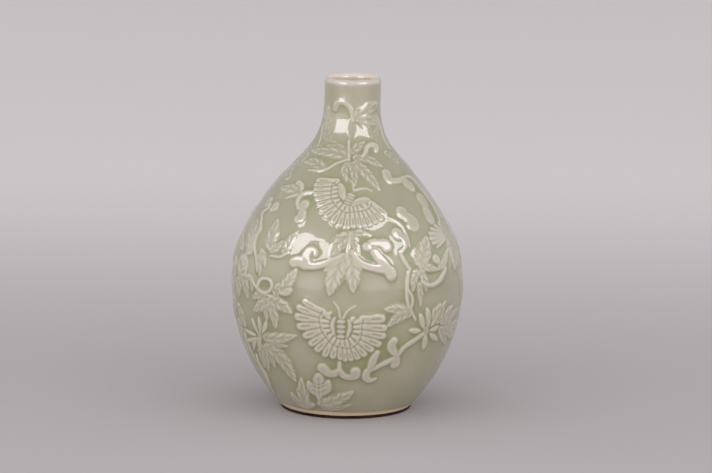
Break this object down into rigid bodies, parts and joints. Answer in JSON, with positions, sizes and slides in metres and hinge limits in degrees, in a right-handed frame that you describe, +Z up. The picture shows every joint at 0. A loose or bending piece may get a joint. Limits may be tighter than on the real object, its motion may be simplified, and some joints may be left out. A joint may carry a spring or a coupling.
{
  "type": "bottle vase",
  "caption": "Pear-shaped ceramic bottle vase with a short straight neck, rounded lip, narrow foot, and relief of butterflies, vines and scrolls.",
  "frame": {"origin": "centre of the foot's resting face", "axes": "+Z up along the vase's axis; the pictured side looks along -Y"},
  "size_m": [0.1688, 0.1684, 0.24],
  "materials": {
    "celadon_glaze": "gloss, transparent grey-green celadon glaze on stoneware",
    "relief_glaze": "gloss, the same glaze, thinner and paler over the relief",
    "iron_foot": "matt, bare fired clay, iron brown"
  },
  "bodies": {
    "root": {"bud_vine_back": "relief_glaze", "bud_vine_front": "relief_glaze", "double_scroll_back": "relief_glaze", "double_scroll_front": "relief_glaze", "edge_leaf_left_back": "relief_glaze", "edge_leaf_left_front": "relief_glaze", "edge_leaf_right_back": "relief_glaze", "edge_leaf_right_front": "relief_glaze", "foot_leaves_back": "relief_glaze", "foot_leaves_front": "relief_glaze", "foot_ring": "iron_foot", "foot_vine_left_back": "relief_glaze", "foot_vine_left_front": "relief_glaze", "hook_leaf_left_back": "relief_glaze", "hook_leaf_left_front": "relief_glaze", "hook_scroll_left_back": "relief_glaze", "hook_scroll_left_front": "relief_glaze", "leaf_scroll_back": "relief_glaze", "leaf_scroll_front": "relief_glaze", "left_flower_back": "relief_glaze", "left_flower_front": "relief_glaze", "lower_body": "celadon_glaze", "lower_butterfly_back": "relief_glaze", "lower_butterfly_front": "relief_glaze", "neck": "celadon_glaze", "neck_leaf_back": "relief_glaze", "neck_leaf_front": "relief_glaze", "neck_spray_back": "relief_glaze", "neck_spray_front": "relief_glaze", "neck_vine_back": "relief_glaze", "neck_vine_front": "relief_glaze", "right_flower_back": "relief_glaze", "right_flower_front": "relief_glaze", "right_vine_back": "relief_glaze", "right_vine_front": "relief_glaze", "ring_spray_back": "relief_glaze", "ring_spray_front": "relief_glaze", "scroll_branch_back": "relief_glaze", "scroll_branch_front": "relief_glaze", "shoulder_leaf_left_back": "relief_glaze", "shoulder_leaf_left_front": "relief_glaze", "shoulder_scroll_right_back": "relief_glaze", "shoulder_scroll_right_front": "relief_glaze", "shoulder_spray_back": "relief_glaze", "shoulder_spray_front": "relief_glaze", "side_leaf_back": "relief_glaze", "side_leaf_front": "relief_glaze", "upper_body": "celadon_glaze", "upper_butterfly_back": "relief_glaze", "upper_butterfly_front": "relief_glaze"}
  },
  "joints": []
}
